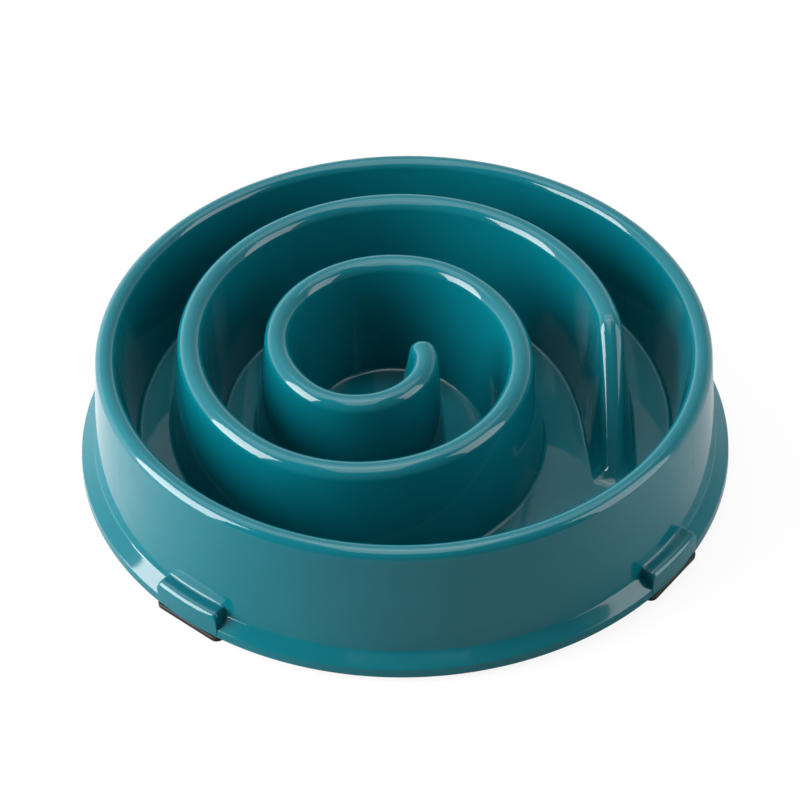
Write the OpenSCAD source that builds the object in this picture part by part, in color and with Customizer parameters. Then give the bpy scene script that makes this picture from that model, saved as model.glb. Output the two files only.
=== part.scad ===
// Slow feeder bowl for a pet: one thin moulded shell with a spiral ridge, standing on four rubber feet.
// All lengths are in millimetres. The origin is the middle of the footprint on the floor, with +Z up.
// The ridge's sloping outer end faces -Y, the side that the pet's owner sees.

/* [Flange] */
// outer radius of the flange at its lower edge
flange_radius = 107.5; // [106:0.5:110]
// height of the flange's upright outer face
flange_face_height = 3.1; // [2.8:0.1:3.6]
// how far the top of the upright face stands in from its lower edge
flange_face_lean = 0.3; // [0.1:0.1:0.6]
// rise of the sloping top of the flange, from its outer edge to the skirt
flange_rise = 3; // [2.4:0.1:3.6]

/* [Rim and walls] */
// thickness of the moulded plastic everywhere
wall_thickness = 2.2; // [1.8:0.1:2.4]
// radius of the circle that the middle of the rim follows
rim_radius = 95.6; // [95:0.1:96.4]
// height of the rim's top above the shell's lower edge
rim_height = 43.15; // [38:0.05:46]
// radius of the round bead along the rim
rim_bead_radius = 3.25; // [2.9:0.05:3.6]
// lean of the inner wall from upright, in degrees
inner_wall_draft = 8.3; // [7:0.1:9]
// lean of the outer skirt from upright, in degrees
skirt_draft = 6.25; // [5.5:0.05:6.5]

/* [Floor] */
// height of the middle of the food side above the shell's lower edge
floor_height = 2.5; // [2.5:0.1:5]
// radius of the shallow curve that dishes the floor
dish_radius = 655; // [500:5:1200]

/* [Spiral ridge] */
// height of the ridge's crest above the shell's lower edge
ridge_height = 44.85; // [36:0.05:46]
// radius of the round crest
crest_radius = 4; // [3.6:0.1:4.2]
// lean of the ridge's two sides from upright, in degrees
ridge_draft = 7.6; // [6.5:0.1:8]
// distance of the ridge's outer end from the bowl's middle, to the right
spiral_start_x = 66.96; // [66:0.02:68]
// distance of the ridge's outer end from the bowl's middle, to the front
spiral_start_y = 2.42; // [1:0.02:4]
// radius of the outermost arc of the spiral
spiral_radius = 76; // [75:0.5:77]
// radius of each arc of the spiral, from the outer end inwards, as a share of the outermost
arc_radius_shares = [1, 0.8643, 0.9262, 0.6524, 0.6913, 0.4822, 0.4883, 0.2857, 0.277, 0.158];
// turn of each arc of the spiral, in degrees
arc_turns = [45, 90, 90, 90, 90, 90, 90, 90, 45, 25];

/* [Ramp at the outer end] */
// level distance from the top of the ramp to the middle of its round nose
ramp_run = 26; // [22:0.5:28]
// turn of the ramp away from the middle of the bowl, in degrees
ramp_turn = 2; // [0:0.5:4]
// lean of the ramp's two sides from upright at its nose, in degrees
ramp_draft = 4.5; // [4:0.1:6]
// height of the middle of the nose's curve above the shell's lower edge
nose_height = 4.3; // [3:0.1:5]

/* [Lugs and feet] */
// direction of the front right foot from the bowl's middle, in degrees
first_foot_angle = -39; // [-60:1:-30]
// height of each lug above the shell's lower edge
lug_height = 9.1; // [8.5:0.1:11]
// angle that each lug spans around the bowl, in degrees
lug_span = 13; // [12:0.5:15]
// radius of the rounded outer edge on top of each lug
lug_edge_radius = 1.2; // [0.8:0.1:1.6]
// depth of each lug towards the middle of the bowl
lug_depth = 11.5; // [11:0.1:12]
// length of each foot's pad along the rim
pad_length = 26; // [24:0.5:28]
// width of each foot's pad towards the middle of the bowl
pad_width = 11; // [10:0.1:11.4]
// radius of the pad's corners
pad_corner_radius = 2.5; // [1.5:0.1:3]
// thickness of the pad that shows below the shell
pad_thickness = 1.8; // [1.4:0.1:2.4]
// distance that the pad stands out past the flange
pad_overhang = 0.1; // [0.05:0.05:0.3]
// length of the plug that holds each foot in its lug
plug_length = 17; // [14:0.5:18]
// width of the plug
plug_width = 5.4; // [4.5:0.1:6]
// height of the plug above the pad
plug_height = 4.6; // [3:0.1:5]
// radius of the plug's corners
plug_corner_radius = 1.5; // [1:0.1:2]
// gap between the plug and its pocket
plug_clearance = 0.1; // [0.05:0.05:0.2]

/* [Colours] */
// colour of the moulded shell
shell_colour = [0.05, 0.46, 0.5];
// colour of the rubber feet
foot_colour = [0.03, 0.03, 0.035];

/* [Hidden] */
$fn = 96;
// facets around the ramp's two balls
ramp_facets = 32;
// length by which a cutting shape runs past the face it opens, more than the nose's ball reaches below the shell
overrun = 8;
// length by which one stretch of the ridge laps into the next
lap = 0.6;
// small step between surfaces that would otherwise only just touch, too fine to see
seam_step = 0.02;
// node names, and the one to draw
foot_turn = 90;
crest_level = ridge_height - crest_radius;
rim_level = rim_height - rim_bead_radius;
flange_top_radius = rim_radius + bead_reach(rim_bead_radius, skirt_draft, rim_level, flange_face_height + flange_rise);
nose_radius = crest_radius + (crest_level - nose_height) * sin(ramp_draft);

// distance from the middle of a bead to its leaning side, at a height above the shell's lower edge
function bead_reach(radius, draft, level, height) = radius / cos(draft) + (level - height) * tan(draft);

// turn of the spiral from its outer end to the start of arc i
function turn_before(i) = i == 0 ? 0 : turn_before(i - 1) + arc_turns[i - 1];

// radius of arc i of the spiral
function arc_radius(i) = spiral_radius * arc_radius_shares[i];

// unit step in the direction of an angle
function step(angle) = [cos(angle), sin(angle)];

// middle of arc i: each arc takes over from the last on the same line, so the spiral has no corner
function arc_middle(i) = i == 0
    ? [spiral_start_x - arc_radius(0), -spiral_start_y]
    : arc_middle(i - 1) + (arc_radius(i - 1) - arc_radius(i)) * step(turn_before(i));

// points of a round corner, from one angle to another
function corner_points(middle, radius, from, to, count) =
    [for (i = [0 : count]) middle + radius * step(from + (to - from) * i / count)];

// cross-section of a leaning wall with a round bead on top, set in by a wall's thickness to hollow it
module bead_section(radius, level, left_draft, right_draft, inset, low) {
    round = radius - inset;
    side = round - seam_step;
    left_top = level + round * sin(left_draft);
    right_top = level + round * sin(right_draft);
    translate([0, level]) circle(r = round);
    polygon([
        [-bead_reach(side, left_draft, level, low), low],
        [bead_reach(side, right_draft, level, low), low],
        [bead_reach(side, right_draft, level, right_top), right_top],
        [-bead_reach(side, left_draft, level, left_top), left_top],
    ]);
}

// the region under the dished floor, out to the hollow of the rim
module under_floor(inset, low) {
    difference() {
        translate([0, low]) square([rim_radius - rim_bead_radius, rim_level - low]);
        translate([0, floor_height + dish_radius]) circle(r = dish_radius + inset, $fn = 4 * $fn);
    }
}

// the region under the flange, from the rim's middle out to the flange's edge
module under_flange(inset, low) {
    slope = atan2(flange_rise, flange_radius - flange_face_lean - flange_top_radius);
    edge = flange_radius - flange_face_lean - inset;
    face_top = flange_face_height - inset * (1 - sin(slope)) / cos(slope);
    skirt_top = face_top + (edge - rim_radius) * tan(slope);
    polygon([
        [rim_radius, low],
        [flange_radius - inset, low],
        [edge, face_top],
        [rim_radius, skirt_top],
    ]);
}

// the whole turned shape of the bowl, filled down to a lower level
module turned_body(inset, low) {
    rotate_extrude() {
        translate([rim_radius, 0])
            bead_section(rim_bead_radius, rim_level, inner_wall_draft, skirt_draft, inset, low);
        under_floor(inset, low);
        under_flange(inset, low);
    }
}

// cross-section of the spiral ridge
module ridge_section(inset, low) {
    bead_section(crest_radius, crest_level, ridge_draft, ridge_draft, inset, low);
}

// arcs of the spiral ridge, from the top of the ramp to the inner end; every second one laps into its neighbours
module spiral_arcs(inset, low) {
    for (i = [0 : len(arc_turns) - 1]) {
        lapped = i % 2;
        lap_turn = lapped * lap / arc_radius(i) * 180 / PI;
        translate(arc_middle(i))
            rotate([0, 0, turn_before(i) - lap_turn])
                rotate_extrude(angle = arc_turns[i] + 2 * lap_turn)
                    translate([arc_radius(i), 0])
                        ridge_section(inset + lapped * seam_step, low);
    }
}

// round inner end of the ridge
module inner_end(inset, low) {
    last = len(arc_turns) - 1;
    translate(arc_middle(last) + arc_radius(last) * step(turn_before(last + 1)))
        rotate_extrude()
            intersection() {
                ridge_section(inset, low);
                translate([0, low]) square([flange_radius, ridge_height - low]);
            }
}

// ramp at the outer end of the ridge: the skin over a ball on the crest, a bigger ball in the nose and their feet,
// so it starts as wide as the ridge, and its sides grow steeper towards the nose
module ramp(inset, low) {
    ends = [
        [0, crest_level, crest_radius, ridge_draft],
        [ramp_run, nose_height, nose_radius, ramp_draft],
    ];
    translate([spiral_start_x, -spiral_start_y, 0])
        rotate([0, 0, ramp_turn])
            hull()
                for (end = ends)
                    translate([0, -end[0], 0]) {
                        translate([0, 0, end[1]]) sphere(r = end[2] - inset, $fn = ramp_facets);
                        translate([0, 0, low])
                            cylinder(r = bead_reach(crest_radius - inset, end[3], crest_level, low),
                                h = seam_step, $fn = ramp_facets);
                    }
}

// spiral ridge with both of its ends, set in by a wall's thickness to hollow it
module ridge(inset, low) {
    spiral_arcs(inset, low);
    inner_end(inset + 2 * seam_step, low);
    ramp(inset + 3 * seam_step, low);
}

// block over one foot, from the space behind the skirt out to the flange's edge
module lug() {
    rotate([0, 0, -lug_span / 2])
        rotate_extrude(angle = lug_span)
            polygon(concat(
                [
                    [flange_radius - lug_depth, 0],
                    [flange_radius, 0],
                ],
                corner_points([flange_radius - lug_edge_radius, lug_height - lug_edge_radius],
                    lug_edge_radius, 0, 90, 6),
                [[flange_radius - lug_depth, lug_height]]
            ));
}

// flat block with round corners, its outer long side at a distance from the bowl's middle
module rounded_block(outer, length, width, corner, height) {
    linear_extrude(height = height)
        for (turned = [0, 1])
            translate([outer - width + corner * turned, -length / 2 + corner * (1 - turned)])
                square([width - 2 * corner * turned, length - 2 * corner * (1 - turned)]);
    for (x = [outer - width + corner, outer - corner])
        for (y = [corner - length / 2, length / 2 - corner])
            translate([x, y, 0]) cylinder(r = corner, h = height);
}

// plug of a foot, or its pocket when grown by the clearance
module plug(grow, low) {
    outer = flange_radius + pad_overhang - (pad_width - plug_width) / 2 + grow;
    translate([0, 0, low])
        rounded_block(outer, plug_length + 2 * grow, plug_width + 2 * grow, plug_corner_radius + grow,
            plug_height + grow - low);
}

// places a shape at each foot in turn
module at_foot(i) {
    rotate([0, 0, first_foot_angle + foot_turn * i]) children();
}

module bowl_shell() {
    color(shell_colour)
        translate([0, 0, pad_thickness])
            difference() {
                union() {
                    difference() {
                        union() {
                            turned_body(0, 0);
                            ridge(0, 0);
                        }
                        turned_body(wall_thickness, -overrun);
                        ridge(wall_thickness, -overrun);
                    }
                    for (i = [0 : 3]) at_foot(i) lug();
                }
                for (i = [0 : 3]) at_foot(i) plug(plug_clearance, -overrun);
            }
}

module foot(i) {
    color(foot_colour)
        at_foot(i) {
            rounded_block(flange_radius + pad_overhang, pad_length, pad_width, pad_corner_radius, pad_thickness);
            translate([0, 0, pad_thickness]) plug(0, -pad_thickness / 2);
        }
}

module foot_front_right() {
    foot(0);
}

module foot_back_right() {
    foot(1);
}

module foot_back_left() {
    foot(2);
}

module foot_front_left() {
    foot(3);
}

bowl_shell();
foot_front_right();
foot_back_right();
foot_back_left();
foot_front_left();
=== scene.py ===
"""Slow feeder bowl: one thin gloss shell with a spiral ridge, standing on four rubber pads.

Sizes are in millimetres, as on a maker's drawing, and become metres when a mesh is finished.
The origin is the middle of the footprint on the floor, and the ridge's ramp faces -Y.
"""

import logging
import math
from dataclasses import dataclass, field
from enum import Enum

import bmesh
import bpy
from mathutils import Matrix, Vector
from mathutils.geometry import delaunay_2d_cdt
from mathutils.kdtree import KDTree


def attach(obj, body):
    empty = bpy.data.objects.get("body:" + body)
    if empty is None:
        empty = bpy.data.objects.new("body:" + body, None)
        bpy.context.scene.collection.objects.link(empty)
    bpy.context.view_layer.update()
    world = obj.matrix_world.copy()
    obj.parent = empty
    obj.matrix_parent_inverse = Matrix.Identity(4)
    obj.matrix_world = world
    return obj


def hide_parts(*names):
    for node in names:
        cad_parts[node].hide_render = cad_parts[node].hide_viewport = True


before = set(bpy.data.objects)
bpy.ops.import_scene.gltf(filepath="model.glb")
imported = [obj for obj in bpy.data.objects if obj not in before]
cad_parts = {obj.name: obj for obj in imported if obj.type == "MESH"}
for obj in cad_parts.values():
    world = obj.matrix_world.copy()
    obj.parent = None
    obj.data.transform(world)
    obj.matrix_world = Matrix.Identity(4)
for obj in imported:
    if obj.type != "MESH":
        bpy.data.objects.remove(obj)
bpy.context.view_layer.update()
MM = 0.001
TINY = 1e-6
FLANGE_RADIUS = 107.5
FOOT_THICKNESS = 1.8
FIRST_FOOT_ANGLE = -39.0
WHITE = (1.0, 1.0, 1.0, 1.0)

logging.basicConfig(level=logging.INFO, format="%(message)s")
log = logging.getLogger("bowl")

Plan = tuple[float, float]
Colour = tuple[float, float, float]
Wire = list[bmesh.types.BMVert]
Solid = bmesh.types.BMesh
Socket = bpy.types.NodeSocket


class Skin(Enum):
    """Both faces of the moulded wall, and how far each is set in from the food side."""

    FOOD_SIDE = 0.0
    UNDERSIDE = 2.2

    @property
    def inset(self) -> float:
        """How far the face is set in from the food side."""
        return self.value


class FootPlace(Enum):
    """Where each foot and its lug stand: the foot's CAD node, and the turn from the first foot."""

    FRONT_RIGHT = ("foot_front_right", 0)
    BACK_RIGHT = ("foot_back_right", 90)
    BACK_LEFT = ("foot_back_left", 180)
    FRONT_LEFT = ("foot_front_left", 270)

    @property
    def node(self) -> str:
        """Name of the foot's CAD node."""
        return self.value[0]

    @property
    def angle(self) -> float:
        """Bearing of the foot in degrees."""
        return FIRST_FOOT_ANGLE + self.value[1]


def plan_step(angle: float) -> Vector:
    """Return the unit step in plan in the direction of an angle in degrees."""
    return Vector((math.cos(math.radians(angle)), math.sin(math.radians(angle))))


def corner_fillet(corner: Plan, up: Plan, along: Plan, radius: float, count: int) -> list[Plan]:
    """Round the corner between two straight lines that leave one point.

    Args:
        corner: where the lines meet.
        up: direction of the line that the curve starts on.
        along: direction of the line that the curve ends on.
        radius: radius of the curve.
        count: number of short straight pieces.

    Returns:
        Points from the first line to the second.
    """
    first, second = Vector(up).normalized(), Vector(along).normalized()
    half = first.angle(second) / 2
    run = radius / math.tan(half)
    middle = Vector(corner) + (first + second).normalized() * (radius / math.sin(half))
    start = Vector(corner) + first * run - middle
    end = Vector(corner) + second * run - middle
    turn = math.atan2(start.x * end.y - start.y * end.x, start.dot(end))
    return [tuple(middle + Matrix.Rotation(turn * i / count, 2) @ start) for i in range(count + 1)]


def straight(start: Plan, end: Plan, count: int) -> list[Plan]:
    """Return the points between two ends, without the ends themselves, for a line of count pieces."""
    first, last = Vector(start), Vector(end)
    return [tuple(first.lerp(last, i / count)) for i in range(1, count)]


def arc(middle: Plan, radius: float, start: float, end: float, count: int) -> list[Plan]:
    """Return points on an arc between two angles in degrees, ends included."""
    base = Vector(middle)
    return [tuple(base + radius * plan_step(start + (end - start) * i / count)) for i in range(count + 1)]


def leaning_reach(radius: float, middle: float, lean: float, height: float) -> float:
    """Find how far out a side is that leans out below a round top.

    Args:
        radius: radius of the round top.
        middle: height of the top's middle.
        lean: the side's lean in degrees.
        height: height at which the side is met.

    Returns:
        The distance from the top's middle.
    """
    turn = math.radians(lean)
    if height > middle + radius * math.sin(turn):
        return math.sqrt(max(0.0, radius ** 2 - (height - middle) ** 2))
    return radius / math.cos(turn) + (middle - height) * math.tan(turn)


def eased(share: float) -> float:
    """Return a share from 0 to 1 that starts and ends gently."""
    return share * share * (3 - 2 * share)


def add_object(name: str, data: bpy.types.ID) -> bpy.types.Object:
    """Put a new object into the scene.

    Args:
        name: name of the object.
        data: its mesh, lamp or camera.

    Returns:
        The object.
    """
    made = bpy.data.objects.new(name, data)
    bpy.context.scene.collection.objects.link(made)
    return made


def lay_skin(bm: Solid, lines: list[list[Vector]]) -> list[Wire]:
    """Lay a grid as a skin over lines of points that lie side by side.

    Args:
        bm: mesh that the skin goes into.
        lines: the lines, each with as many points as the others.

    Returns:
        The vertices along each line.
    """
    width = len(lines[0])
    made = bmesh.ops.create_grid(bm, x_segments=width - 1, y_segments=len(lines) - 1, size=1.0)["verts"]
    wires = [made[start:start + width] for start in range(0, len(made), width)]
    for wire, line in zip(wires, lines):
        for vert, point in zip(wire, line):
            vert.co = point
    return wires


@dataclass
class BowlFloor:
    """Floor of the bowl: a dish in the round well at the middle, and level across each channel round it.

    Each channel lies as high as the dish at the foot of the wall or turn outside it. In the bay beside the
    ramp, between two bearings and two radii, the floor comes down gently from the outer channel to the next.
    """

    floor_height: float = 2.5
    dish_radius: float = 655.0
    wall_root: float = 87.6
    ridge_root: float = 8.6
    smallest_turn: float = 20.0
    bay_radius: float = 66.0
    bay_inside: float = 38.0
    bay_start: float = -25.0
    bay_end: float = 14.0
    well_radius: float = 25.0
    well_blend: float = 10.0
    turns: dict[int, list[float]] = field(default_factory=dict)

    def learn_turns(self, centre_line: list[Vector]) -> None:
        """Note how far out each turn of the ridge's centre line passes in every direction.

        Args:
            centre_line: points along the ridge, from its outer end inwards.
        """
        last: float | None = None
        for point in centre_line:
            angle = math.degrees(math.atan2(point.y, point.x))
            if last is not None:
                angle += 360 * round((last - angle) / 360)
                for whole in range(math.ceil(last), math.floor(angle) + 1):
                    if point.length > self.smallest_turn:
                        self.turns.setdefault(whole % 360, []).append(point.length)
            last = angle

    def ridge_outside(self, x: float, y: float) -> float:
        """Return the radius of the wall or ridge root that bounds the channel on its outer side.

        Args:
            x: place across the bowl.
            y: place along the bowl, away from the camera.

        Returns:
            The root's radius, or in the round well at the middle the place's own.
        """
        reach = math.hypot(x, y)
        if reach < self.well_radius:
            return reach
        angle = math.degrees(math.atan2(y, x))
        low = math.floor(angle)
        found = []
        for whole in (low, low + 1):
            beyond = [turn for turn in self.turns.get(whole % 360, []) if turn > reach]
            found.append(min(beyond) - self.ridge_root if beyond else self.wall_root)
        share = angle - low
        if abs(found[0] - found[1]) > self.ridge_root:
            share = round(share)
        root = found[0] + (found[1] - found[0]) * share
        if self.bay_inside < reach < self.bay_radius and self.bay_start < angle < self.bay_end:
            step = (angle - self.bay_start) / (self.bay_end - self.bay_start)
            inner = self.bay_radius - self.ridge_root if root == self.wall_root else root
            root = self.wall_root + (inner - self.wall_root) * eased(step)
        outside_well = min(1.0, (reach - self.well_radius) / self.well_blend)
        return reach + (root - reach) * eased(outside_well)

    def level(self, reach: float) -> float:
        """Return the height of the dish that the floor follows, at a distance from the middle."""
        return self.floor_height + self.dish_radius - math.sqrt(self.dish_radius ** 2 - reach * reach)

    def height(self, x: float, y: float, skin: Skin) -> float:
        """Return the height of a skin of the floor at a place in plan."""
        return self.level(self.ridge_outside(x, y)) - skin.inset


@dataclass
class Station:
    """One cross-section of the ridge.

    Its point lies on the centre line in plan, out points away from the arc's middle, and ahead points inwards
    along the ridge. The crest is the height of the middle of the round top, draft is the lean of the sides in
    degrees, and foot is half the width of the ridge, taken at a height.
    """

    point: Vector
    out: Vector
    ahead: Vector
    crest: float
    draft: float
    foot: Plan


@dataclass(frozen=True)
class RidgeRamp:
    """How the ridge's outer end comes down to the floor."""

    start_turn: float = 7.1
    bend_radius: float = 9.0
    fall: float = 43.0
    toe_radius: float = 6.0
    taper: float = 0.16
    corner_radius: float = 5.0
    bend_rows: int = 8
    slope_rows: int = 20
    toe_rows: int = 6

    def turn_down(self, radius: float, rows: int) -> list[Plan]:
        """Return the run and the drop along a bend from level to the ramp's slope."""
        return [(run, radius - rise) for run, rise in arc((0, 0), radius, 90, 90 - self.fall, rows)]

    def profile(self, height: float) -> list[Plan]:
        """Lay out the ramp's side view from its foot up.

        Args:
            height: how far the ramp comes down in all.

        Returns:
            Points of the run from the ramp's top and the drop below it.
        """
        bend = self.turn_down(self.bend_radius, self.bend_rows)
        toe = self.turn_down(self.toe_radius, self.toe_rows)
        slope_run = (height - bend[-1][1] - toe[-1][1]) / math.tan(math.radians(self.fall))
        length = bend[-1][0] + slope_run + toe[-1][0]
        foot = [(length - run, height - drop) for run, drop in toe]
        return foot + straight(foot[-1], bend[-1], self.slope_rows) + bend[:0:-1]


@dataclass(frozen=True)
class RidgeTip:
    """How the ridge's inner end comes down: its bend, slope and foot, and how its sides stand up near it."""

    bend_radius: float = 5.0
    lean: float = 10.0
    foot_stretch: float = 1.1
    run: float = 7.0
    drift: float = -2.5
    draft: float = 3.6
    draft_start: float = 650.0


@dataclass
class SpiralRidge:
    """Ridge with a round crest and leaning sides, along a spiral of arcs, with a ramp at its outer end."""

    floor: BowlFloor
    ridge_height: float = 44.83
    crest_radius: float = 4.0
    ridge_draft: float = 7.6
    spiral_start_x: float = 66.96
    spiral_start_y: float = 2.42
    spiral_radius: float = 76.0
    arc_radius_shares: tuple[float, ...] = (
        1, 0.8643, 0.9262, 0.6524, 0.6913, 0.4822, 0.4883, 0.2857, 0.277, 0.158)
    arc_turns: tuple[float, ...] = (45, 90, 90, 90, 90, 90, 90, 90, 45, 17)
    root_fillet: float = 1.2
    ramp: RidgeRamp = RidgeRamp()
    tip: RidgeTip = RidgeTip()
    station_step: float = 1.6
    fewest_steps: int = 3
    crest_rows: int = 12
    side_rows: int = 6
    fillet_rows: int = 6
    cap_columns: int = 44
    cap_straight_share: float = 0.25
    flattest_side: float = 60.0
    settling_rounds: int = 6

    @property
    def crest_level(self) -> float:
        """Height of the middle of the round crest."""
        return self.ridge_height - self.crest_radius

    @property
    def first_middle(self) -> Vector:
        """Middle of the spiral's first arc."""
        return Vector((self.spiral_start_x - self.spiral_radius, -self.spiral_start_y))

    def station(self, middle: Vector, radius: float, angle: float) -> Station:
        """Lay out the full-height cross-section at a place on an arc.

        Args:
            middle: the arc's middle.
            radius: the arc's radius.
            angle: place along the spiral in degrees, counted on from arc to arc.

        Returns:
            The cross-section, with sides that stand up more near the tip.
        """
        out = plan_step(angle)
        near = max(0.0, (angle - self.tip.draft_start) / (sum(self.arc_turns) - self.tip.draft_start))
        draft = self.ridge_draft + (self.tip.draft - self.ridge_draft) * near
        level = self.floor.floor_height
        foot = (leaning_reach(self.crest_radius, self.crest_level, draft, level), level)
        return Station(middle + radius * out, out, plan_step(angle + 90), self.crest_level, draft, foot)

    def ramp_stations(self) -> list[Station]:
        """Walk the ramp from its foot up to the full height, straight at first and then along the first arc.

        Returns:
            The stations, with lowered crests, and sides that lean out to keep the foot's width.
        """
        level = self.floor.level(self.floor.wall_root)
        turned = math.radians(self.ramp.start_turn) * self.spiral_radius
        profile = self.ramp.profile(self.ridge_height - level)
        length = profile[0][0]
        found = []
        for run, drop in profile:
            angle = max(0.0, self.ramp.start_turn - math.degrees(run / self.spiral_radius))
            base = self.station(self.first_middle, self.spiral_radius, angle)
            base.point = base.point - base.ahead * max(0.0, run - turned)
            base.crest = self.crest_level - drop
            half = base.foot[0] - (level - base.foot[1]) * math.tan(math.radians(base.draft))
            half *= 1 - self.ramp.taper * run / length
            near = max(0.0, self.ramp.corner_radius - (length - run))
            half -= self.ramp.corner_radius - math.sqrt(self.ramp.corner_radius ** 2 - near ** 2)
            base.foot = (half, level)
            rise = level - base.crest
            touch = math.acos(self.crest_radius / math.hypot(half, rise))
            base.draft = math.degrees(math.atan2(rise, half) + touch)
            found.append(base)
        return found

    def stations(self) -> list[Station]:
        """Walk the centre line from the ramp's top inwards.

        Returns:
            The stations, about one station_step apart.
        """
        found: list[Station] = []
        start = 0.0
        middle = self.first_middle
        last_radius = self.spiral_radius
        for share, turn in zip(self.arc_radius_shares, self.arc_turns):
            radius = share * self.spiral_radius
            middle = middle + (last_radius - radius) * plan_step(start)
            begin = start if found else self.ramp.start_turn
            steps = math.radians(start + turn - begin) * radius / self.station_step
            count = max(self.fewest_steps, round(steps))
            for i in range(count + (turn == self.arc_turns[-1])):
                found.append(self.station(middle, radius, begin + (start + turn - begin) * i / count))
            start += turn
            last_radius = radius
        return found

    def foot_curve(self, foot: Plan, lean: float, skin: Skin) -> list[Plan]:
        """Return the small fillet between the floor and a side that comes out by lean for each mm down."""
        return corner_fillet(foot, (-lean, 1), (1, 0), self.root_fillet + skin.inset, self.fillet_rows)

    def crest_arc(self, station: Station, skin: Skin) -> list[Plan]:
        """Return the reach and height of each row of the round crest, from just below its top down."""
        radius = self.crest_radius - skin.inset
        return arc((0.0, station.crest), radius, 90, station.draft, self.crest_rows)[1:]

    def side(self, station: Station, sign: float, skin: Skin) -> list[Vector]:
        """Run one side of the cross-section down from the crest's top.

        Args:
            station: the cross-section.
            sign: 1 for the side away from the arc's middle, and -1 for the side towards it.
            skin: food side or underside.

        Returns:
            The points from just below the top to the toe.
        """
        facing = station.out * sign
        crest = self.crest_arc(station, skin)
        narrowing = skin.inset * math.tan(math.radians(45 - station.draft / 2))
        slant = math.tan(math.radians(min(station.draft, self.flattest_side)))
        height = level = station.foot[1] - skin.inset
        for _ in range(self.settling_rounds):
            reach = station.foot[0] - narrowing + (level - height) * slant
            spot = station.point + facing * reach
            height = self.floor.height(spot.x, spot.y, skin)
        drop = max(TINY, crest[-1][1] - height)
        curve = self.foot_curve((reach, height), (reach - crest[-1][0]) / drop, skin)
        outline = crest + straight(crest[-1], curve[0], self.side_rows) + curve
        points = [Vector((*(station.point + facing * place[0]), place[1])) for place in outline]
        points[-1].z = self.floor.height(points[-1].x, points[-1].y, skin)
        return points

    def section(self, station: Station, skin: Skin) -> list[Vector]:
        """Return the whole cross-section at a station, from the inner toe over the crest to the outer toe."""
        top = Vector((*station.point, station.crest + self.crest_radius - skin.inset))
        return self.side(station, -1.0, skin)[::-1] + [top] + self.side(station, 1.0, skin)

    def cap_column(self, station: Station, turn: float, slide: float, skin: Skin) -> list[Vector]:
        """Run one line down the inner end of the ridge.

        Args:
            station: last station of the ridge.
            turn: place round the end in degrees, from 0 on the outer side to 180 on the inner.
            slide: share of the straight part of the end's side that this line has passed.
            skin: food side or underside.

        Returns:
            The points from just below the top to the floor.
        """
        cosine, sine = plan_step(turn)
        radius, bend = self.crest_radius - skin.inset, self.tip.bend_radius - skin.inset
        bend_level = self.ridge_height - self.tip.bend_radius
        top_stretch = math.sqrt(bend / radius)

        def stretch(height: float) -> float:
            """Return how much longer than wide the end is at a height."""
            depth = (self.ridge_height - skin.inset - height) / (2 * self.tip.bend_radius)
            return top_stretch + (self.tip.foot_stretch - top_stretch) * min(1.0, max(0.0, depth))

        def place(height: float) -> Vector:
            """Find where the line is in plan.

            Args:
                height: height that the line is down to.

            Returns:
                The place.
            """
            reach = leaning_reach(radius, station.crest, station.draft, height)
            middle_reach = leaning_reach(bend, bend_level, self.tip.lean, height)
            shift = max(0.0, middle_reach - stretch(height) * reach)
            ahead = shift * slide + stretch(height) * reach * sine
            share = min(1.0, ahead / self.tip.run)
            aside = reach * cosine + self.tip.drift * share * share
            return station.point + station.out * aside + station.ahead * ahead

        facing = (station.out * cosine + station.ahead * (sine / self.tip.foot_stretch)).normalized()
        foot = self.floor.floor_height
        for _ in range(self.settling_rounds):
            spot = place(foot)
            foot = self.floor.height(spot.x, spot.y, skin)
        spot = place(foot)
        curve = self.foot_curve((0, foot), (spot - place(foot + 1)).dot(facing), skin)
        heights = [height for _, height in self.crest_arc(station, skin)]
        heights += [height for _, height in straight((0, heights[-1]), (0, curve[0][1]), self.side_rows)]
        points = [Vector((*place(height), height)) for height in heights]
        points += [Vector((*(spot + facing * out), height)) for out, height in curve]
        points[-1].z = self.floor.height(points[-1].x, points[-1].y, skin)
        return points

    def cap(self, bm: Solid, wire: Wire, station: Station, skin: Skin) -> Wire:
        """Close the inner end of the ridge with a fan of lines that leave the crest's top.

        Args:
            bm: mesh that the end goes into.
            wire: the last cross-section, from the inner toe to the outer toe.
            station: station of that cross-section.
            skin: food side or underside.

        Returns:
            The toe's vertices round the end, from the outer side to the inner, without those of the section.
        """
        half = len(wire) // 2
        top = wire[half].co.copy()
        lines = [[vert.co.copy() for vert in wire[half:]]]
        border = self.cap_straight_share
        for i in range(1, self.cap_columns):
            share = i / self.cap_columns
            turn = 180 * min(1.0, max(0.0, (share - border) / (1 - 2 * border)))
            slide = min(1.0, share / border, (1 - share) / border)
            lines.append([top] + self.cap_column(station, turn, slide, skin))
        lines.append([vert.co.copy() for vert in wire[half::-1]])
        return [made[-1] for made in lay_skin(bm, lines)[1:-1]]

    def build(self, bm: Solid, skin: Skin) -> Wire:
        """Build one skin of the ridge with its ramp and its tip.

        Args:
            bm: mesh that the skin goes into.
            skin: food side or underside.

        Returns:
            The loop of vertices along the ridge's toe.
        """
        stations = self.ramp_stations() + self.stations()
        wires = lay_skin(bm, [self.section(station, skin) for station in stations])
        tip = self.cap(bm, wires[-1], stations[-1], skin)
        return [wire[-1] for wire in wires] + tip + [wire[0] for wire in wires[::-1]] + wires[0][1:-1]


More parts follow.
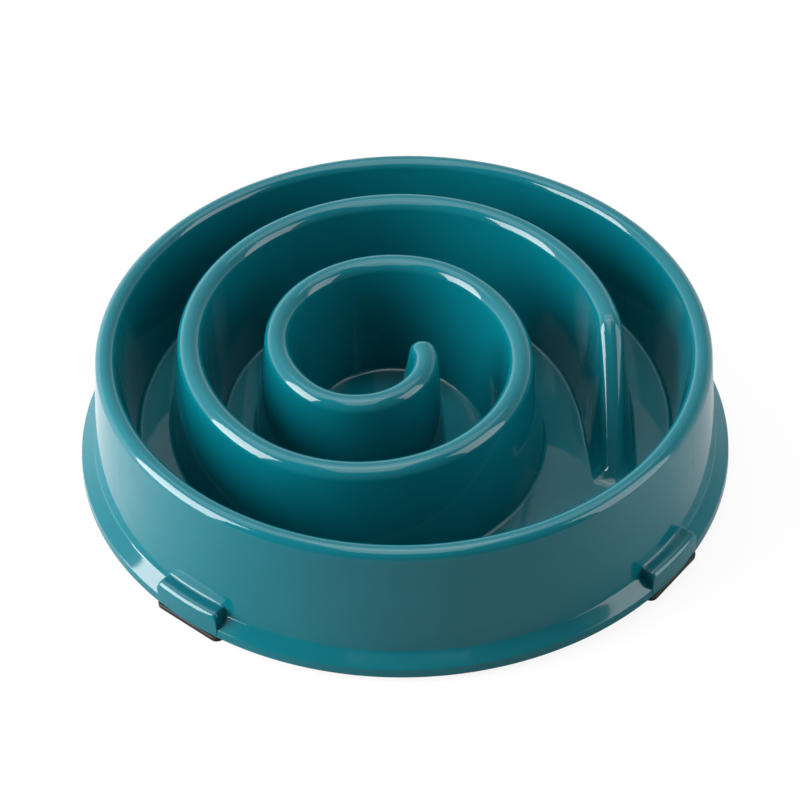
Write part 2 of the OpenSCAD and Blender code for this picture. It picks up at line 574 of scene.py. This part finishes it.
@dataclass
class BowlWall:
    """Turned wall of the bowl: inner wall, round rim, outer skirt, and flange with four lugs on it."""

    floor: BowlFloor
    flange_radius: float = FLANGE_RADIUS
    flange_face_height: float = 3.1
    flange_face_lean: float = 0.3
    flange_rise: float = 3.0
    rim_radius: float = 95.6
    rim_height: float = 43.15
    rim_bead_radius: float = 3.25
    inner_wall_draft: float = 8.3
    skirt_draft: float = 6.25
    root_fillet: float = 1.3
    flange_fillet: float = 1.2
    flange_edge_radius: float = 0.5
    lower_edge_radius: float = 0.3
    lug_height: float = 9.1
    lug_span: float = 13.0
    lug_edge_radius: float = 1.9
    lug_fillet: float = 0.8
    lug_end_round: float = 0.9
    lug_end_curve: tuple[Plan, ...] = ((0, 0), (0, 0.62), (0.08, 0.78), (0.28, 0.91), (0.6, 0.98), (1, 1))
    columns_between_lugs: int = 48
    columns_on_lug: int = 8
    root_rows: int = 7
    wall_rows: int = 6
    bead_rows: int = 18
    hollow_rows: int = 5
    flange_rows: int = 4
    face_rows: int = 3
    under_face_rows: int = 2

    @property
    def rim_level(self) -> float:
        """Height of the middle of the rim's bead."""
        return self.rim_height - self.rim_bead_radius

    def skirt_at(self, skin: Skin, height: float) -> Plan:
        """Return the skirt's radius at a height, and the height."""
        bead = self.rim_bead_radius - skin.inset
        return self.rim_radius + leaning_reach(bead, self.rim_level, self.skirt_draft, height), height

    def bead(self, skin: Skin) -> list[Plan]:
        """Return the profile over the round rim, from the inner wall to the skirt."""
        return arc((self.rim_radius, self.rim_level), self.rim_bead_radius - skin.inset,
                   180 - self.inner_wall_draft, self.skirt_draft, self.bead_rows)

    def inner_wall(self, skin: Skin) -> list[Plan]:
        """Lay out the profile from the floor up the inner wall.

        Args:
            skin: food side or underside.

        Returns:
            The points, from the floor to just below the bead.
        """
        height = self.floor.height(self.floor.wall_root, 0.0, skin)
        bead = self.rim_bead_radius - skin.inset
        foot = self.rim_radius - leaning_reach(bead, self.rim_level, self.inner_wall_draft, height)
        up = (math.tan(math.radians(self.inner_wall_draft)), 1)
        fillet = self.root_fillet + skin.inset
        curve = corner_fillet((foot, height), up, (-1, 0), fillet, self.root_rows)[::-1]
        return curve + straight(curve[-1], self.bead(skin)[0], self.wall_rows)

    def outside(self, lug: bool) -> list[Plan]:
        """Lay out the profile down the skirt and over the flange or a lug.

        Args:
            lug: whether it runs over a lug.

        Returns:
            The points from below the bead to the lower edge, as many over a lug as between two.
        """
        if lug:
            foot = Vector(self.skirt_at(Skin.FOOD_SIDE, self.lug_height))
            corner = (self.flange_radius, self.lug_height)
            fillet, edge_radius = self.lug_fillet, self.lug_edge_radius
        else:
            foot = Vector(self.skirt_at(Skin.FOOD_SIDE, self.flange_face_height + self.flange_rise))
            corner = (self.flange_radius - self.flange_face_lean, self.flange_face_height)
            fillet, edge_radius = self.flange_fillet, self.flange_edge_radius
        up = Vector(self.skirt_at(Skin.FOOD_SIDE, self.rim_level)) - foot
        slope = Vector(corner) - foot
        face = Vector((self.flange_radius, 0.0)) - Vector(corner)
        hollow = corner_fillet(tuple(foot), tuple(up), tuple(slope), fillet, self.hollow_rows)
        shoulder = corner_fillet(corner, tuple(-slope), tuple(face), edge_radius, self.flange_rows)
        lower = corner_fillet(
            (self.flange_radius, 0), (0, 1), (-1, 0), self.lower_edge_radius, self.face_rows)
        return (straight(self.bead(Skin.FOOD_SIDE)[-1], hollow[0], self.wall_rows) + hollow
                + straight(hollow[-1], shoulder[0], self.flange_rows) + shoulder
                + straight(shoulder[-1], lower[0], self.face_rows) + lower)

    def hollow_side(self) -> list[Plan]:
        """Lay out the profile of the hollow under the flange, skirt and rim.

        Returns:
            The points from the lower edge inwards.
        """
        thickness = Skin.UNDERSIDE.inset
        slope_foot = self.skirt_at(Skin.FOOD_SIDE, self.flange_face_height + self.flange_rise)[0]
        slope = math.atan2(self.flange_rise, self.flange_radius - self.flange_face_lean - slope_foot)
        foot = (self.flange_radius - thickness, 0.0)
        edge = (self.flange_radius - self.flange_face_lean - thickness,
                self.flange_face_height - thickness * (1 - math.sin(slope)) / math.cos(slope))
        inner_end = self.skirt_at(Skin.UNDERSIDE, edge[1] + self.flange_rise)[0]
        meeting = self.skirt_at(Skin.UNDERSIDE, edge[1] + (edge[0] - inner_end) * math.tan(slope))
        bead = self.bead(Skin.UNDERSIDE)[::-1]
        return ([foot] + straight(foot, edge, self.under_face_rows) + [edge]
                + straight(edge, meeting, self.face_rows) + [meeting]
                + straight(meeting, bead[0], self.wall_rows) + bead)

    def profile(self, lug: bool) -> list[Plan]:
        """Return the whole profile of the wall, from the floor's edge over the rim and back under it."""
        top = self.inner_wall(Skin.FOOD_SIDE) + self.bead(Skin.FOOD_SIDE) + self.outside(lug)
        return top + self.hollow_side() + self.inner_wall(Skin.UNDERSIDE)[::-1]

    def columns(self) -> list[Plan]:
        """Lay out the upright lines round the bowl.

        Returns:
            The bearing of each line, and its share of the lug's profile.
        """
        flat, gap = self.lug_span - 2 * self.lug_end_round, 90 - self.lug_span
        found: list[Plan] = []
        for place in FootPlace:
            start, end = place.angle - self.lug_span / 2, place.angle + self.lug_span / 2
            found += [(start + self.lug_end_round * along, share) for along, share in self.lug_end_curve]
            for i in range(1, self.columns_on_lug):
                found.append((start + self.lug_end_round + flat * i / self.columns_on_lug, 1.0))
            found += [(end - self.lug_end_round * along, share) for along, share in self.lug_end_curve[::-1]]
            for i in range(1, self.columns_between_lugs):
                found.append((end + gap * i / self.columns_between_lugs, 0.0))
        return found

    def build(self, bm: Solid) -> tuple[Wire, Wire]:
        """Turn the profile round the bowl.

        Args:
            bm: mesh that the wall goes into.

        Returns:
            The loops of vertices at the floor's edge, on the food side and on the underside.
        """
        plain, lug = self.profile(False), self.profile(True)
        lines = []
        for angle, share in self.columns():
            outline = [Vector(one).lerp(Vector(other), share) for one, other in zip(plain, lug)]
            lines.append([Vector((*(plan_step(angle) * point.x), point.y)) for point in outline])
        wires = lay_skin(bm, lines + lines[:1])[:-1]
        return [wire[0] for wire in wires], [wire[-1] for wire in wires]


@dataclass
class BowlSkin:
    """The moulded shell: wall, floor and ridge as one closed skin of even thickness."""

    lift: float = FOOT_THICKNESS
    floor_grid: float = 4.0
    joint: float = 1e-4
    sliver: float = 1e-5
    sharp_angle: float = 48.0
    floor: BowlFloor = field(default_factory=BowlFloor)

    def fill_floor(self, bm: Solid, rim: Wire, toe: Wire, skin: Skin) -> None:
        """Fill the floor between the wall and the ridge's toe.

        Args:
            bm: mesh that the floor goes into.
            rim: loop of vertices along the wall.
            toe: loop of vertices along the ridge.
            skin: food side or underside.
        """
        loops = rim + toe
        tree = KDTree(len(loops))
        for i, vert in enumerate(loops):
            tree.insert((vert.co.x, vert.co.y, 0.0), i)
        tree.balance()
        flat = [Vector((vert.co.x, vert.co.y)) for vert in loops]
        reach = max(point.length for point in flat)
        rows = int(reach / self.floor_grid) + 1
        row_step = self.floor_grid * math.sin(math.radians(60))
        for row in range(-rows, rows + 1):
            for place in range(-rows, rows + 1):
                x, y = (place + 0.5 * (row % 2)) * self.floor_grid, row * row_step
                if math.hypot(x, y) <= reach and tree.find((x, y, 0.0))[2] >= self.floor_grid / 2:
                    flat.append(Vector((x, y)))
        borders = [list(range(len(rim))), list(range(len(rim), len(loops)))]
        points, _, faces, sources, _, owners = delaunay_2d_cdt(flat, [], borders, 1, TINY)
        known = {new: loops[old[0]] for new, old in enumerate(sources) if old and old[0] < len(loops)}
        for corners, inside in zip(faces, owners):
            if 1 in inside or 0 not in inside:
                continue
            verts = []
            for corner in corners:
                if corner not in known:
                    x, y = points[corner]
                    known[corner] = bm.verts.new((x, y, self.floor.height(x, y, skin)))
                verts.append(known[corner])
            bm.faces.new(verts)

    def build(self) -> bpy.types.Object:
        """Build the whole shell as one closed mesh.

        Returns:
            The shell's object.
        """
        bm = bmesh.new()
        wall, ridge = BowlWall(self.floor), SpiralRidge(self.floor)
        self.floor.learn_turns([station.point for station in ridge.stations()])
        for skin, rim in zip(Skin, wall.build(bm)):
            self.fill_floor(bm, rim, ridge.build(bm, skin), skin)
        bmesh.ops.remove_doubles(bm, verts=bm.verts, dist=self.joint)
        bmesh.ops.dissolve_degenerate(bm, edges=bm.edges, dist=self.sliver)
        bmesh.ops.translate(bm, verts=bm.verts, vec=(0, 0, self.lift))
        return finish_mesh("bowl_skin", bm, self.sharp_angle)


@dataclass
class LugCores:
    """Solid cores inside the lugs, which each foot's plug is pressed into."""

    outer: float = 105.6
    depth: float = 9.6
    bottom: float = 0.1
    height: float = 5.0
    outer_share: float = 0.6
    span: float = 12.6
    steps: int = 8
    sharp_angle: float = 30.0
    lift: float = FOOT_THICKNESS

    def build(self) -> bpy.types.Object:
        """Build the four cores, each turned from its cross-section.

        Returns:
            The cores' object.
        """
        bm = bmesh.new()
        inner = self.outer - self.depth
        corners = ((inner, self.bottom), (self.outer, self.bottom),
                   (self.outer, self.height * self.outer_share), (inner, self.height))
        for place in FootPlace:
            direction = plan_step(place.angle - self.span / 2)
            verts = [bm.verts.new((*(direction * reach), height)) for reach, height in corners]
            bmesh.ops.spin(bm, geom=[bm.faces.new(verts)], cent=(0, 0, 0), axis=(0, 0, 1), dvec=(0, 0, 0),
                           angle=math.radians(self.span), steps=self.steps, use_merge=False)
        bmesh.ops.translate(bm, verts=bm.verts, vec=(0, 0, self.lift))
        return finish_mesh("lug_cores", bm, self.sharp_angle)


@dataclass
class RubberFoot:
    """Flat rubber pad with round corners under a lug."""

    place: FootPlace
    outer: float = 107.6
    length: float = 26.0
    width: float = 11.0
    thickness: float = FOOT_THICKNESS
    corner_radius: float = 2.5
    corner_rows: int = 8
    edge_radius: float = 0.35
    edge_rows: int = 3
    sharp_angle: float = 50.0

    def build(self) -> bpy.types.Object:
        """Build the pad from a block, with its upright corners bevelled first and then its flat edges.

        Returns:
            The pad's object.
        """
        bm = bmesh.new()
        bmesh.ops.create_cube(bm, size=1.0)
        bmesh.ops.scale(bm, verts=bm.verts, vec=(self.width, self.length, self.thickness))
        for upright, radius, rows in ((True, self.corner_radius, self.corner_rows),
                                      (False, self.edge_radius, self.edge_rows)):
            edges = [edge for edge in bm.edges
                     if (abs(edge.verts[0].co.z - edge.verts[1].co.z) > TINY) == upright]
            bmesh.ops.bevel(bm, geom=edges, offset=radius, offset_type="OFFSET", affect="EDGES",
                            segments=rows, profile=0.5, material=-1)
        bmesh.ops.translate(bm, verts=bm.verts, vec=(self.outer - self.width / 2, 0, self.thickness / 2))
        turn = Matrix.Rotation(math.radians(self.place.angle), 3, "Z")
        bmesh.ops.rotate(bm, verts=bm.verts, cent=(0, 0, 0), matrix=turn)
        return finish_mesh("pad_" + self.place.node.removeprefix("foot_"), bm, self.sharp_angle)


def finish_mesh(name: str, bm: Solid, sharp_angle: float) -> bpy.types.Object:
    """Turn a mesh in millimetres into a finished piece in metres, with smooth shading between sharp edges.

    Args:
        name: name of the piece.
        bm: its mesh, which is freed.
        sharp_angle: angle in degrees above which an edge stays sharp.

    Returns:
        The piece's object.
    """
    bmesh.ops.scale(bm, verts=bm.verts, vec=(MM, MM, MM))
    bmesh.ops.recalc_face_normals(bm, faces=bm.faces)
    limit = math.radians(sharp_angle)
    for face in bm.faces:
        face.smooth = True
    for edge in bm.edges:
        edge.smooth = edge.calc_face_angle(0.0) < limit
    open_edges = sum(1 for edge in bm.edges if not edge.is_manifold)
    mesh = bpy.data.meshes.new(name)
    bm.to_mesh(mesh)
    bm.free()
    piece = add_object(name, mesh)
    smooth = piece.modifiers.new("even normals", "WEIGHTED_NORMAL")
    smooth.mode = "FACE_AREA"
    smooth.keep_sharp = True
    log.info("%s: %d faces, %d open edges", name, len(mesh.polygons), open_edges)
    return piece


class NodeSheet:
    """Short way of adding and joining shader nodes."""

    def __init__(self, tree: bpy.types.NodeTree) -> None:
        """Start with an empty tree."""
        self.tree = tree
        tree.nodes.clear()

    def feed(self, target: Socket, value: object) -> None:
        """Join an output to an input socket, or set the input to a plain value.

        Args:
            target: the input socket.
            value: the output or the value.
        """
        if isinstance(value, Socket):
            self.tree.links.new(value, target)
        else:
            target.default_value = value

    def add(self, kind: str, **sockets: object) -> bpy.types.Node:
        """Add a node and feed its inputs.

        Args:
            kind: type of the node.
            sockets: output or value for each input, with _ for a space in the input's name.

        Returns:
            The node.
        """
        node = self.tree.nodes.new(kind)
        for name, value in sockets.items():
            self.feed(node.inputs[name.replace("_", " ")], value)
        return node

    def work_out(self, kind: str, operation: str, *values: object) -> Socket:
        """Add a maths node and feed its inputs in their order.

        Args:
            kind: type of the node.
            operation: what it does.
            values: output or value for each input.

        Returns:
            The result.
        """
        node = self.add(kind)
        node.operation = operation
        for target, value in zip(node.inputs, values):
            self.feed(target, value)
        return node.outputs[0]

    def map_range(self, value: Socket, band: Plan, low: object, high: object) -> Socket:
        """Return a value that goes from low to high as another crosses a band, and holds beyond it."""
        node = self.add("ShaderNodeMapRange", Value=value, From_Min=band[0], From_Max=band[1],
                        To_Min=low, To_Max=high)
        return node.outputs["Result"]

    def mix(self, share: object, first: Socket, second: Socket) -> Socket:
        """Mix two shaders.

        Args:
            share: output or value for the second shader's share.
            first: the first shader.
            second: the second shader.

        Returns:
            The mixed shader.
        """
        node = self.add("ShaderNodeMixShader", Fac=share)
        self.feed(node.inputs[1], first)
        self.feed(node.inputs[2], second)
        return node.outputs["Shader"]

    def show(self, kind: str, unseen: Socket, seen: Socket) -> None:
        """Close the sheet with one shader for all other rays and another for what the camera sees."""
        rays = self.add("ShaderNodeLightPath")
        self.add(kind, Surface=self.mix(rays.outputs["Is Camera Ray"], unseen, seen))


def fine_grain_group() -> bpy.types.NodeTree:
    """Make the grain that both finishes share: a height for the bump, and a mask that varies the finish.

    Returns:
        The node group, with inputs Position, Ripple Scale and Mottle Scale, and outputs Height and Mask.
    """
    group = bpy.data.node_groups.new("fine grain", "ShaderNodeTree")
    sheet = NodeSheet(group)
    group.interface.new_socket(name="Position", in_out="INPUT", socket_type="NodeSocketVector")
    for name, way in (("Ripple Scale", "INPUT"), ("Mottle Scale", "INPUT"),
                      ("Height", "OUTPUT"), ("Mask", "OUTPUT")):
        group.interface.new_socket(name=name, in_out=way, socket_type="NodeSocketFloat")
    start, end = group.nodes.new("NodeGroupInput").outputs, group.nodes.new("NodeGroupOutput").inputs
    for result, scale, detail, roughness in (("Height", "Ripple Scale", 2.0, 0.5),
                                             ("Mask", "Mottle Scale", 5.0, 0.6)):
        noise = sheet.add("ShaderNodeTexNoise", Vector=start["Position"], Scale=start[scale],
                          Detail=detail, Roughness=roughness)
        sheet.feed(end[result], noise.outputs["Fac"])
    return group


@dataclass(frozen=True)
class MouldedFinish:
    """A moulded material: two close tones, a roughness range, and a fine surface grain."""

    name: str
    tone: Colour
    second_tone: Colour
    smoothest: float
    roughest: float
    ripple_scale: float
    mottle_scale: float
    bump_strength: float
    bump_depth: float
    index: float
    specular: float
    tone_band: Plan = (0.35, 0.65)
    gloss_band: Plan = (0.3, 0.7)

    def make(self, grain: bpy.types.NodeTree) -> bpy.types.Material:
        """Build the material.

        Args:
            grain: the shared grain group.

        Returns:
            The material.
        """
        material = bpy.data.materials.new(self.name)
        material.use_nodes = True
        sheet = NodeSheet(material.node_tree)
        surface = sheet.add("ShaderNodeGroup")
        surface.node_tree = grain
        place = sheet.add("ShaderNodeTexCoord").outputs["Object"]
        for name, value in (("Position", place), ("Ripple Scale", self.ripple_scale),
                            ("Mottle Scale", self.mottle_scale)):
            sheet.feed(surface.inputs[name], value)
        mask = surface.outputs["Mask"]
        tones = sheet.add("ShaderNodeValToRGB", Fac=mask)
        stops = zip(tones.color_ramp.elements, self.tone_band, (self.tone, self.second_tone))
        for stop, position, tone in stops:
            stop.position = position
            stop.color = (*tone, 1.0)
        gloss = sheet.map_range(mask, self.gloss_band, self.smoothest, self.roughest)
        bump = sheet.add("ShaderNodeBump", Height=surface.outputs["Height"],
                         Strength=self.bump_strength, Distance=self.bump_depth)
        shader = sheet.add("ShaderNodeBsdfPrincipled", Base_Color=tones.outputs["Color"], Roughness=gloss,
                           IOR=self.index, Specular_IOR_Level=self.specular, Normal=bump.outputs["Normal"])
        sheet.add("ShaderNodeOutputMaterial", Surface=shader.outputs["BSDF"])
        return material


SHELL_GLOSS = MouldedFinish(
    name="gloss teal plastic", tone=(0.0012, 0.123, 0.155), second_tone=(0.0012, 0.131, 0.165),
    smoothest=0.06, roughest=0.09, ripple_scale=260.0, mottle_scale=60.0,
    bump_strength=0.05, bump_depth=0.0002, index=1.49, specular=0.5)
FOOT_RUBBER = MouldedFinish(
    name="black rubber", tone=(0.012, 0.011, 0.011), second_tone=(0.017, 0.016, 0.016),
    smoothest=0.42, roughest=0.62, ripple_scale=1800.0, mottle_scale=300.0,
    bump_strength=0.35, bump_depth=0.0001, index=1.5, specular=0.4)


@dataclass
class ViewCamera:
    """Camera that looks down on the bowl from the front."""

    elevation: float = 43.089
    distance: float = 6.5291 * FLANGE_RADIUS
    focal_pixels: float = 2096.9
    image_pixels: float = 800.0
    sensor: float = 36.0
    roll: float = 0.843
    aim_right: float = 4.315
    aim_up: float = 30.534
    target_height: float = FOOT_THICKNESS

    def build(self) -> bpy.types.Object:
        """Place the camera and make it the scene's camera.

        Returns:
            The camera's object.
        """
        rise = math.radians(self.elevation)
        place = Vector((0.0, -math.cos(rise), math.sin(rise))) * self.distance
        place.z += self.target_height
        view = Matrix.Translation(place * MM)
        pan, tilt = (math.atan(aim / self.focal_pixels) for aim in (self.aim_right, self.aim_up))
        roll = math.radians(-self.roll)
        for turn, axis in ((math.pi / 2 - rise, "X"), (pan, "Y"), (tilt, "X"), (roll, "Z")):
            view = view @ Matrix.Rotation(turn, 4, axis)
        data = bpy.data.cameras.new("view")
        data.sensor_fit = "HORIZONTAL"
        data.sensor_width = self.sensor
        data.lens = self.sensor * self.focal_pixels / self.image_pixels
        camera = add_object("view", data)
        camera.matrix_world = view
        bpy.context.scene.camera = camera
        return camera


@dataclass
class Softbox:
    """A rectangular lamp that faces the bowl, and may be left out of its mirror images or its matt light."""

    name: str
    place: tuple[float, float, float]
    size: tuple[float, float]
    power: float
    in_gloss: bool = True
    on_matt: bool = True
    aim: tuple[float, float, float] = (0.0, 0.0, 0.02)

    def build(self) -> bpy.types.Object:
        """Place the lamp and turn it to its aim.

        Returns:
            The lamp's object.
        """
        data = bpy.data.lights.new(self.name, "AREA")
        data.shape = "RECTANGLE"
        data.size, data.size_y = self.size
        data.energy = self.power
        lamp = add_object(self.name, data)
        lamp.location = self.place
        lamp.visible_glossy = self.in_gloss
        lamp.visible_diffuse = self.on_matt
        look = Vector(self.aim) - Vector(self.place)
        lamp.rotation_euler = look.to_track_quat("-Z", "Y").to_euler()
        return lamp


@dataclass
class Studio:
    """Plain pale floor, surroundings and lamps.

    The camera sees floor and surroundings as white, with the object's faint shadow on the floor. For all
    other rays the floor's colour is darker in front of the bowl, which is painted shade for the bowl's shadow
    and the dark room in front, and the surroundings are a dark room in front, a pale wall behind that is
    brighter low down and on the left, and a pale ceiling. Each change takes place over a band of Y or Z in a
    direction of length 1.
    """

    floor_size: float = 4.0
    floor_colour: Colour = (0.98, 0.98, 0.98)
    white_share: float = 0.88
    front_floor_painted_shade: float = 0.34
    side_floor: float = 0.72
    floor_band: Plan = (-0.8, -0.3)
    horizon_light: float = 1.30
    back_light: float = 0.68
    back_band: Plan = (0.2, 0.45)
    back_fall: float = -0.40
    front_light: float = 0.14
    front_band: Plan = (-0.38, -0.20)
    ceiling_light: float = 0.9
    ceiling_band: Plan = (0.90, 0.98)
    boxes: tuple[Softbox, ...] = (
        Softbox("left softbox", place=(-1.199, -0.255, 0.434), size=(0.80, 1.24), power=36.0),
        Softbox("right softbox", place=(1.194, -0.276, 0.434), size=(0.72, 1.30), power=9.3),
        Softbox("overhead glint", place=(0.0, -0.12, 0.45), size=(0.24, 0.36), power=0.44,
                on_matt=False, aim=(0.0, -0.12, 0.0)),
        Softbox("back glint", place=(0.0, 0.42, 1.30), size=(1.70, 0.84), power=5.6,
                on_matt=False, aim=(0.0, 0.42, 0.0)),
        Softbox("overhead fill", place=(0.0, 0.42, 1.23), size=(0.70, 0.32), power=5.0, in_gloss=False),
    )

    def build_floor(self) -> bpy.types.Object:
        """Make the floor.

        Returns:
            The floor's object.
        """
        bm = bmesh.new()
        bmesh.ops.create_grid(bm, x_segments=1, y_segments=1, size=self.floor_size / 2)
        mesh = bpy.data.meshes.new("floor")
        bm.to_mesh(mesh)
        bm.free()
        floor = add_object("floor", mesh)
        material = bpy.data.materials.new("pale floor")
        material.use_nodes = True
        mesh.materials.append(material)
        sheet = NodeSheet(material.node_tree)
        place = sheet.add("ShaderNodeTexCoord").outputs["Object"]
        bearing = sheet.work_out("ShaderNodeVectorMath", "NORMALIZE", place)
        parts = sheet.add("ShaderNodeSeparateXYZ", Vector=bearing)
        # painted shade: for rays from the bowl the floor's own colour is darker in front of it, as if in
        # shadow
        tone = sheet.map_range(parts.outputs["Y"], self.floor_band, self.front_floor_painted_shade, self.side_floor)
        painted_shade_floor = sheet.add("ShaderNodeBsdfDiffuse", Color=tone)
        paint = sheet.add("ShaderNodeBsdfDiffuse", Color=(*self.floor_colour, 1.0))
        white = sheet.add("ShaderNodeEmission", Color=WHITE, Strength=1.0)
        seen = sheet.mix(self.white_share, paint.outputs["BSDF"], white.outputs["Emission"])
        sheet.show("ShaderNodeOutputMaterial", painted_shade_floor.outputs["BSDF"], seen)
        return floor

    def build_world(self) -> bpy.types.World:
        """Make the surroundings.

        Returns:
            The world.
        """
        world = bpy.data.worlds.new("surroundings")
        world.use_nodes = True
        sheet = NodeSheet(world.node_tree)
        place = sheet.add("ShaderNodeTexCoord").outputs["Generated"]
        height = sheet.add("ShaderNodeSeparateXYZ", Vector=place).outputs["Z"]
        level = sheet.work_out("ShaderNodeVectorMath", "MULTIPLY", place, (1.0, 1.0, 0.0))
        bearing = sheet.work_out("ShaderNodeVectorMath", "NORMALIZE", level)
        parts = sheet.add("ShaderNodeSeparateXYZ", Vector=bearing)
        back = sheet.map_range(height, self.back_band, self.horizon_light, self.back_light)
        fall = sheet.work_out("ShaderNodeMath", "MULTIPLY_ADD", parts.outputs["X"], self.back_fall, 1.0)
        wall = sheet.work_out("ShaderNodeMath", "MULTIPLY", fall, back)
        walls = sheet.map_range(parts.outputs["Y"], self.front_band, self.front_light, wall)
        light = sheet.map_range(height, self.ceiling_band, walls, self.ceiling_light)
        room = sheet.add("ShaderNodeBackground", Color=WHITE, Strength=light)
        white = sheet.add("ShaderNodeBackground", Color=WHITE, Strength=1.0)
        sheet.show("ShaderNodeOutputWorld", room.outputs["Background"], white.outputs["Background"])
        bpy.context.scene.world = world
        return world

    def build(self) -> None:
        """Build the floor, the surroundings and the lamps."""
        self.build_floor()
        self.build_world()
        for box in self.boxes:
            box.build()


def dress(piece: bpy.types.Object, node: str, material: bpy.types.Material) -> None:
    """Give a piece its material and its place in the frame.

    Args:
        piece: the finished piece.
        node: CAD node that it stands for.
        material: its finish.
    """
    piece.data.materials.clear()
    piece.data.materials.append(material)
    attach(piece, "root")
    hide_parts(node)
    log.info("%s stands for %s", piece.name, node)


def main() -> None:
    """Build the camera, the studio, the shell and its feet."""
    bpy.context.scene.view_settings.view_transform = "Standard"
    ViewCamera().build()
    Studio().build()
    grain = fine_grain_group()
    gloss, rubber = SHELL_GLOSS.make(grain), FOOT_RUBBER.make(grain)
    dress(BowlSkin().build(), "bowl_shell", gloss)
    dress(LugCores().build(), "bowl_shell", gloss)
    for place in FootPlace:
        dress(RubberFoot(place).build(), place.node, rubber)


if __name__ == "__main__":
    main()
